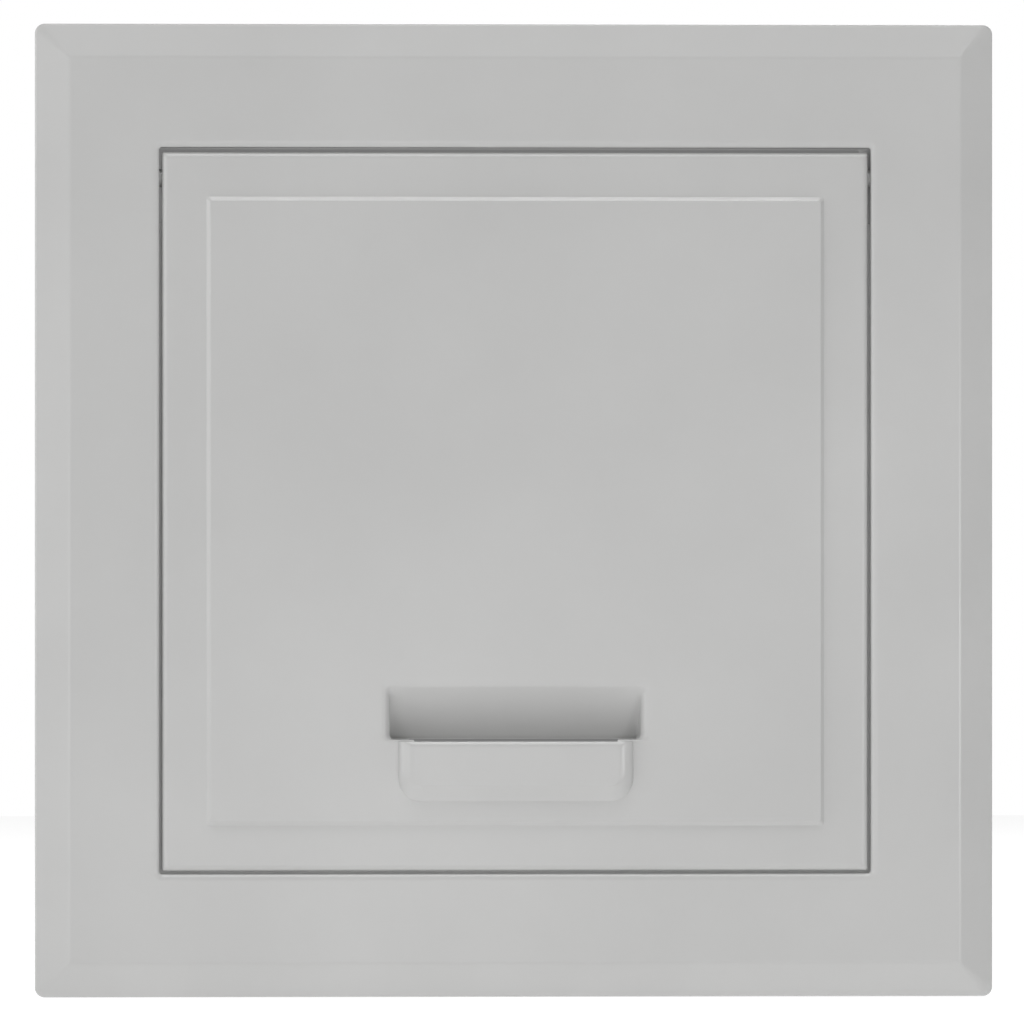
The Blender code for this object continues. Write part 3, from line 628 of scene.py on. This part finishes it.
def door_loops():
    """Loops over the door's face and rim, down its skirt and over the hollow side."""

    def rim(distance, y):
        return rectangle_loop(
            DOOR_HALF_WIDTH - distance,
            DOOR_BOTTOM + distance,
            DOOR_TOP - distance,
            y,
            DOOR_CORNER_RADIUS,
        )

    def skirt(distance, y, radius):
        return rectangle_loop(
            SKIRT_HALF_WIDTH - distance,
            SKIRT_BOTTOM + distance,
            SKIRT_TOP - distance,
            y,
            radius,
        )

    def field(distance, y, radius):
        return rectangle_loop(
            FIELD_HALF_WIDTH - distance,
            FIELD_BOTTOM + distance,
            FIELD_TOP - distance,
            y,
            radius,
        )

    edge = arc(DOOR_EDGE_RADIUS, FACE_Y + DOOR_EDGE_RADIUS, DOOR_EDGE_RADIUS, 270, 180)
    wall = DOOR_SKIRT_WALL
    behind = STEP_BEHIND_FIELD
    loops = [field(distance, y, FIELD_CORNER_RADIUS) for distance, y in step_section()]
    loops += [rim(distance, y) for distance, y in edge]
    loops += [
        rim(0.0, DOOR_SKIN_Y),
        skirt(0.0, DOOR_SKIN_Y, DOOR_CORNER_RADIUS),
        skirt(0.0, DOOR_BACK_Y, DOOR_CORNER_RADIUS),
        skirt(wall, DOOR_BACK_Y, FIELD_CORNER_RADIUS),
        skirt(wall, DOOR_SKIN_Y, FIELD_CORNER_RADIUS),
        field(behind, DOOR_SKIN_Y, FIELD_CORNER_RADIUS),
        field(behind + FIELD_STEP_WIDTH, FIELD_Y + DOOR_SKIN, FIELD_CORNER_RADIUS),
    ]
    return loops


def step_section():
    """The step round the raised field as (inset, y), with its two edges rounded."""
    tilt = atan(FIELD_RAISE / FIELD_STEP_WIDTH)
    turn = degrees(tilt)
    radius = FIELD_STEP_ROUND
    reach = radius * tan(tilt / 2)
    upper = arc(
        FIELD_STEP_WIDTH + reach, FIELD_Y + radius, radius, 270, 270 - turn, EASE_STEPS
    )
    lower = arc(-reach, FACE_Y - radius, radius, 90 - turn, 90, EASE_STEPS)
    return upper + lower


def add_door_ribs():
    """Two upright and two cross ribs on the hollow side, run into the skirt."""
    half = DOOR_RIB_THICKNESS / 2
    front = FIELD_Y + DOOR_SKIN - SINK
    back = front + SINK + DOOR_RIB_DEPTH
    reach = SKIRT_HALF_WIDTH - DOOR_SKIRT_WALL + SINK
    low = SKIRT_BOTTOM + DOOR_SKIRT_WALL - SINK
    high = SKIRT_TOP - DOOR_SKIRT_WALL + SINK
    upright = bmesh.new()
    for x in (-DOOR_RIB_SIDE_PLACE, DOOR_RIB_SIDE_PLACE):
        block(upright, (x - half, front, low), (x + half, back, high))
    cross = bmesh.new()
    for z in (DOOR_RIB_UPPER_PLACE, DOOR_RIB_MIDDLE_PLACE):
        block(cross, (-reach, front, z - half), (reach, back - SINK, z + half))
    return add_object("door_upright_ribs", upright), add_object("door_cross_ribs", cross)


def add_door_lugs():
    """Lugs that carry the skirt out to the rim's side edge round each pin bore."""
    bm = bmesh.new()
    inner = SKIRT_HALF_WIDTH - SINK
    outer = DOOR_HALF_WIDTH - LUG_INSIDE_DOOR_EDGE
    front = DOOR_SKIN_Y - SINK
    back = HINGE.y + HINGE_BOSS_RADIUS
    low = HINGE.z - HINGE_BOSS_RADIUS
    high = HINGE.z + HINGE_BOSS_RADIUS
    block(bm, (-outer, front, low), (-inner, back, high))
    block(bm, (inner, front, low), (outer, back, high))
    return add_object("door_lugs", bm)


def add_snap_bumps():
    """Bumps under the door's lower skirt that sit behind the stop ledge."""
    bm = bmesh.new()
    z = SKIRT_BOTTOM - SNAP_PROUD + SNAP_RADIUS
    for side in (-1, 1):
        rod(bm, Vector((side * SNAP_PLACE, SNAP_Y, z)), SNAP_RADIUS, SNAP_LENGTH)
    return add_object("snap_bumps", bm)


def scoop_sections():
    """The scoop as (depth behind the field, drop of its floor) pairs, front to back.

    A shallow brim runs down from the scoop's upper edge, turns back into the door and
    goes over into a floor that is a flat hollow arc as far as the slot.
    """
    sections = [(0.0, 0.0)]
    for i in range(ROLL_STEPS + 1):
        a = (SCOOP_ANGLE + SCOOP_FLOOR_CURVE) * i / ROLL_STEPS
        depth = SCOOP_BRIM_DEPTH + SCOOP_BRIM_TURN_RADIUS * (1 - cos(a))
        sections.append((depth, SCOOP_BRIM_WIDTH + SCOOP_BRIM_TURN_RADIUS * sin(a)))
    start, drop = sections[-1]
    across, down = SCOOP_DEPTH - start, SCOOP_HEIGHT - drop
    radius = sqrt(across**2 + down**2) / (2 * sin(SCOOP_FLOOR_CURVE))
    first = atan(across / down) + SCOOP_FLOOR_CURVE
    for i in range(1, FLOOR_STEPS + 1):
        a = first - 2 * SCOOP_FLOOR_CURVE * i / FLOOR_STEPS
        depth = start + radius * (cos(a) - cos(first))
        sections.append((depth, drop + radius * (sin(first) - sin(a))))
    return sections


def scoop_half_width(depth):
    """Half the scoop's width: its sides roll in from the field and then draft inward."""
    left = 1.0 - min(1.0, max(0.0, depth / SCOOP_CHEEK_DEPTH))
    rolled = SCOOP_CHEEK_WIDTH * sqrt(1.0 - left**2)
    drafted = SCOOP_CHEEK_DRAFT * max(0.0, depth - SCOOP_CHEEK_DEPTH)
    return SCOOP_WIDTH / 2 - rolled - drafted


def scoop_loop(half_width, foot, top, y):
    """One section across the scoop, its corners no larger than its height allows."""
    radius = min(SCOOP_CORNER_RADIUS, (top - foot) * SCOOP_CORNER_SHARE)
    return rectangle_loop(half_width, foot, top, y, radius)


def mouth_flare(depth):
    """How far the mouth's rounded lower edge opens down at a depth behind the field."""
    left = min(SCOOP_MOUTH_ROUND, max(0.0, SCOOP_MOUTH_ROUND - depth))
    return SCOOP_MOUTH_ROUND - sqrt(SCOOP_MOUTH_ROUND**2 - left**2)


def add_scoop_hollow():
    """The hollow that the fingertips go into, from in front of the field to its end."""
    loops = []
    for depth, drop in [(-CUT_PAST, 0.0)] + scoop_sections():
        foot = SLOT_Z - mouth_flare(depth)
        top = max(SCOOP_TOP - drop, SLOT_Z + SCOOP_END_HEIGHT)
        loops.append(scoop_loop(scoop_half_width(depth), foot, top, FIELD_Y + depth))
    return loft("scoop_hollow", loops)


def add_scoop_shell():
    """The scoop's wall on the hollow side of the door."""
    wall = PULL_WALL
    loops = []
    for depth, drop in scoop_sections():
        half_width = scoop_half_width(depth) + wall
        top = SCOOP_TOP - drop + wall * sin(SCOOP_ANGLE)
        y = FIELD_Y + depth + wall * cos(SCOOP_ANGLE)
        loops.append(scoop_loop(half_width, SLOT_Z - wall, top, y))
    half_width = scoop_half_width(SCOOP_DEPTH) + wall
    end_y = FIELD_Y + SCOOP_DEPTH + wall / cos(SCOOP_ANGLE)
    loops.append(scoop_loop(half_width, SLOT_Z - wall, SLOT_Z, end_y))
    return loft("scoop_shell", loops)


def hood_sections():
    """The hood as (height, side inset, foot inset, top inset), from the field outward.

    Its sides stand steep on the field and round into its face, its foot is a flat slope,
    and its top rolls over into the lip.
    """
    sections = []
    for i in range(HOOD_STEPS + 1):
        turn = pi / 2 * i / HOOD_STEPS
        height = HOOD_RAISE * sin(turn)
        side = HOOD_SIDE_SLOPE * (1 - cos(turn))
        foot = HOOD_FOOT_SLOPE * height / HOOD_RAISE
        above_lip = max(0.0, height - (HOOD_RAISE - HOOD_LIP_RADIUS))
        top = HOOD_LIP_RADIUS - sqrt(max(0.0, HOOD_LIP_RADIUS**2 - above_lip**2))
        sections.append((height, side, foot, top))
    return sections


def hood_loop(height, side_inset, foot_inset, top_inset):
    """One section across the hood at a height above the field."""
    return rectangle_loop(
        HOOD_WIDTH / 2 - side_inset,
        SLOT_Z - HOOD_HEIGHT + foot_inset,
        SLOT_Z - top_inset,
        FIELD_Y - height,
        max(HOOD_CORNER_RADIUS - side_inset, HOOD_TOP_CORNER_RADIUS),
        HOOD_TOP_CORNER_RADIUS,
    )


def hood_room_loop(y, side_inset, foot_inset):
    """One section across the room behind the hood, inside the hood's walls."""
    return rectangle_loop(
        HOOD_WIDTH / 2 - side_inset - HOOD_SIDE_WALL,
        SLOT_Z - HOOD_HEIGHT + foot_inset + PULL_WALL,
        SLOT_Z + SCOOP_END_HEIGHT / 2,
        y,
        max(HOOD_CORNER_RADIUS - side_inset - PULL_WALL, HOOD_TOP_CORNER_RADIUS),
        HOOD_TOP_CORNER_RADIUS,
    )


def add_hood():
    """The hood in front of the scoop's lower end, sunk into the door's skin."""
    loops = [hood_loop(SINK - DOOR_SKIN, 0.0, 0.0, 0.0)]
    loops += [hood_loop(*section) for section in hood_sections()]
    return loft("hood", loops)


def add_hood_hollow():
    """The room behind the hood, open to the back and up to the scoop."""
    loops = [hood_room_loop(DOOR_BACK_Y + CUT_PAST, 0.0, 0.0)]
    for height, side, foot, _ in hood_sections():
        loops.append(hood_room_loop(FIELD_Y - height + PULL_WALL, side, foot))
    return loft("hood_hollow", loops)


def make_door():
    """Door with its raised field, skirt, ribs, finger pull and snap bumps in one."""
    piece = loft("door_moulding", door_loops(), PIECES)
    upright_ribs, cross_ribs = add_door_ribs()
    bosses = add_rods(
        "door_bosses",
        BORE_END_X - BORE_END_WALL,
        SKIRT_HALF_WIDTH - DOOR_SKIRT_WALL + SINK,
        HINGE_BOSS_RADIUS,
    )
    bores = add_rods("door_bores", BORE_END_X, DOOR_HALF_WIDTH + CUT_PAST, BORE_RADIUS)
    for guide in (upright_ribs, cross_ribs, bosses, add_snap_bumps(), add_door_lugs()):
        join_or_cut(piece, guide, "UNION")
    for guide in (add_scoop_shell(), add_hood()):
        join_or_cut(piece, guide, "UNION")
    for guide in (add_scoop_hollow(), add_hood_hollow(), bores):
        join_or_cut(piece, guide, "DIFFERENCE")
    bake_shape(piece)
    smooth(piece)
    return piece


def make_pin(name, side):
    """One turned hinge pin with a chamfered nose and a broken outer edge."""
    half = (PIN_HIGH.x - PIN_LOW.x) / 2
    outline = [
        (0, half),
        (PIN_RADIUS - PIN_CHAMFER / 2, half),
        (PIN_RADIUS, half - PIN_CHAMFER / 2),
        (PIN_RADIUS, PIN_CHAMFER - half),
        (PIN_RADIUS - PIN_CHAMFER, -half),
        (0, -half),
    ]
    bm = bmesh.new()
    points = [bm.verts.new((r, 0, along)) for r, along in outline]
    for start, end in zip(points, points[1:]):
        bm.edges.new((start, end))
    mesh = bpy.data.meshes.new(name)
    bm.to_mesh(mesh)
    bm.free()
    pin = bpy.data.objects.new(name, mesh)
    PIECES.objects.link(pin)
    turn = pin.modifiers.new("turn", "SCREW")
    turn.axis = "Z"
    turn.steps = BORE_SIDES
    turn.render_steps = BORE_SIDES
    turn.use_merge_vertices = True
    turn.merge_threshold = MERGE_DISTANCE
    bake_shape(pin)
    middle = (PIN_HIGH.x + PIN_LOW.x) / 2
    pin.data.transform(Matrix.Rotation(side * pi / 2, 4, "Y"))
    pin.location = (side * middle, HINGE.y, HINGE.z)
    smooth(pin, angle=30)
    return pin


def make_stage():
    """Pale floor, and a plane of painted shade behind the collar that can't be seen from
    behind.
    """
    bm = bmesh.new()
    bmesh.ops.create_grid(bm, x_segments=1, y_segments=1, size=FLOOR_HALF_SIZE)
    floor = add_object("floor", bm, STAGE)
    floor.location = (0.0, 0.0, FRAME_LOW.z - FLOOR_BELOW_FRAME)
    floor.data.materials.append(floor_material())

    # Plane of painted shade behind the collar, for the shaded inside seen through the gaps
    bm = bmesh.new()
    turn = Matrix.Rotation(pi / 2, 4, "X")
    past = COLLAR_WALL / 2
    size = Matrix.Diagonal(
        (OPENING_HALF_WIDTH + past, 1.0, OPENING_HALF_HEIGHT + past, 1.0)
    )
    bmesh.ops.create_grid(bm, x_segments=1, y_segments=1, size=1.0, matrix=size @ turn)
    hollow = add_object("painted_shade_behind", bm, STAGE)
    hollow.location = (0.0, COLLAR_DEPTH + HOLLOW_BEHIND_COLLAR, 0.0)
    hollow.data.materials.append(painted_shade_material())


def empty_tree(owner, output):
    """The node tree of a material or world with nothing in it but one output node."""
    owner.use_nodes = True
    tree = owner.node_tree
    tree.nodes.clear()
    return tree, tree.nodes.new(output)


def glow(tree, strength):
    """A shader that gives off white light."""
    node = tree.nodes.new("ShaderNodeEmission")
    node.inputs["Strength"].default_value = strength
    return node.outputs["Emission"]


def matt(tree, grey):
    """A matt grey shader."""
    node = tree.nodes.new("ShaderNodeBsdfDiffuse")
    node.inputs["Color"].default_value = (grey, grey, grey, 1.0)
    return node.outputs["BSDF"]


def backdrop(tree, strength):
    """A white shader for the world."""
    node = tree.nodes.new("ShaderNodeBackground")
    node.inputs["Color"].default_value = (1.0, 1.0, 1.0, 1.0)
    node.inputs["Strength"].default_value = strength
    return node.outputs["Background"]


def both(tree, first, second):
    """Two shaders added up."""
    node = tree.nodes.new("ShaderNodeAddShader")
    tree.links.new(first, node.inputs[0])
    tree.links.new(second, node.inputs[1])
    return node.outputs["Shader"]


def either(tree, test, when_false, when_true):
    """One of two shaders, by a test that gives 0 or 1."""
    node = tree.nodes.new("ShaderNodeMixShader")
    tree.links.new(test, node.inputs["Fac"])
    tree.links.new(when_false, node.inputs[1])
    tree.links.new(when_true, node.inputs[2])
    return node.outputs["Shader"]


def seeing_ray(tree):
    """A test for the rays that see things, against those that only carry light."""
    path = tree.nodes.new("ShaderNodeLightPath")
    strongest = path.outputs[SEEING_RAYS[0]]
    for ray in SEEING_RAYS[1:]:
        pick = tree.nodes.new("ShaderNodeMath")
        pick.operation = "MAXIMUM"
        tree.links.new(strongest, pick.inputs[0])
        tree.links.new(path.outputs[ray], pick.inputs[1])
        strongest = pick.outputs[0]
    return strongest


def floor_material():
    """White to the camera, yet it keeps the object's shadow and bounces pale light."""
    material = bpy.data.materials.new("floor_pale")
    tree, out = empty_tree(material, "ShaderNodeOutputMaterial")
    bounced = both(tree, matt(tree, FLOOR_BOUNCE_GREY), glow(tree, FLOOR_BOUNCE_GLOW))
    shown = both(tree, matt(tree, FLOOR_SHOWN_GREY), glow(tree, FLOOR_SHOWN_GLOW))
    surface = either(tree, seeing_ray(tree), bounced, shown)
    tree.links.new(surface, out.inputs["Surface"])
    return material


def painted_shade_material():
    """Painted shade from the front, a dim grey glow for the shaded inside; clear from behind,
    and lights the inside as a room would.
    """
    material = bpy.data.materials.new("hollow_painted_shade")
    tree, out = empty_tree(material, "ShaderNodeOutputMaterial")
    # Painted shade: the dim glow and grey that the camera sees through the gaps and the slot
    shown = both(tree, glow(tree, PAINTED_SHADE_GLOW), matt(tree, PAINTED_SHADE_GREY))
    front = either(tree, seeing_ray(tree), glow(tree, HOLLOW_ROOM_GLOW), shown)
    clear = tree.nodes.new("ShaderNodeBsdfTransparent").outputs["BSDF"]
    from_behind = tree.nodes.new("ShaderNodeNewGeometry").outputs["Backfacing"]
    surface = either(tree, from_behind, front, clear)
    tree.links.new(surface, out.inputs["Surface"])
    return material


def make_world():
    """White behind the object, and a soft grey for the light it gives."""
    world = bpy.data.worlds.new("studio")
    bpy.context.scene.world = world
    tree, out = empty_tree(world, "ShaderNodeOutputWorld")
    soft = backdrop(tree, WORLD_SOFT_GLOW)
    white = backdrop(tree, WORLD_SHOWN_GLOW)
    surface = either(tree, seeing_ray(tree), soft, white)
    tree.links.new(surface, out.inputs["Surface"])


def add_softbox(name, place, size, power):
    """A square soft lamp aimed at the panel's middle, its size in metres and power in watts."""
    lamp = bpy.data.lights.new(name, "AREA")
    lamp.shape = "SQUARE"
    lamp.size = size
    lamp.energy = power
    holder = bpy.data.objects.new(name, lamp)
    holder.location = place
    holder.rotation_euler = (-Vector(place)).to_track_quat("-Z", "Y").to_euler()
    STAGE.objects.link(holder)


def make_lamps():
    """Soft light from above and from the left, and from behind for views of the back.

    The three low lamps light the hood's sides and foot, and the glint lamp draws the
    narrow light lines on the edges that face up.
    """
    add_softbox("overhead", place=(-0.2, -1.3, 3.2), size=1.5, power=27.8)
    add_softbox("top", place=(0.0, -1.0, 1.4), size=1.0, power=3.0)
    add_softbox("graze", place=(-0.5, -0.5, 2.2), size=1.0, power=5.0)
    add_softbox("side", place=(-1.6, -0.35, 0.0), size=1.5, power=14.0)
    add_softbox("low left", place=(-0.30, -0.45, -0.03), size=0.12, power=0.11)
    add_softbox("low right", place=(0.30, -0.45, -0.03), size=0.12, power=0.23)
    add_softbox("low middle", place=(0.0, -0.40, -0.085), size=0.12, power=0.07)
    add_softbox("glint", place=(0.24, 0.0, 3.0), size=0.3, power=5.0)
    add_softbox("behind", place=(0.8, 2.0, 1.3), size=1.2, power=12.0)


def make_camera():
    """Long lens in front of the panel, a little to its left, as in the photograph."""
    camera = bpy.data.cameras.new("camera")
    camera.sensor_width = SENSOR_WIDTH
    camera.lens = SENSOR_WIDTH * CAMERA_DISTANCE / PICTURE_WIDTH
    camera.clip_start = CAMERA_NEAR
    camera.clip_end = CAMERA_FAR
    holder = bpy.data.objects.new("camera", camera)
    aim = Vector((CAMERA_ASIDE, 0.0, CAMERA_UP))
    back = Vector((sin(CAMERA_TURN), -cos(CAMERA_TURN), 0.0))
    holder.location = aim + back * CAMERA_DISTANCE
    holder.rotation_euler = (pi / 2, 0.0, CAMERA_TURN)
    STAGE.objects.link(holder)
    bpy.context.scene.camera = holder


make_camera()
make_stage()
make_world()
make_lamps()
bpy.context.scene.view_settings.view_transform = "Standard"

frame_plastic = moulded_plastic("frame_plastic", MOULDING_COLOUR, FRAME_ROUGHNESS)
door_plastic = moulded_plastic("door_plastic", MOULDING_COLOUR, DOOR_ROUGHNESS)
pin_plastic = moulded_plastic("pin_plastic", PIN_COLOUR, PIN_ROUGHNESS)
dress(make_frame(), frame_plastic, "frame", "frame")
dress(make_door(), door_plastic, "door", "door")
dress(make_pin("left_pin", -1), pin_plastic, "frame", "hinge_pin_left")
dress(make_pin("right_pin", 1), pin_plastic, "frame", "hinge_pin_right")
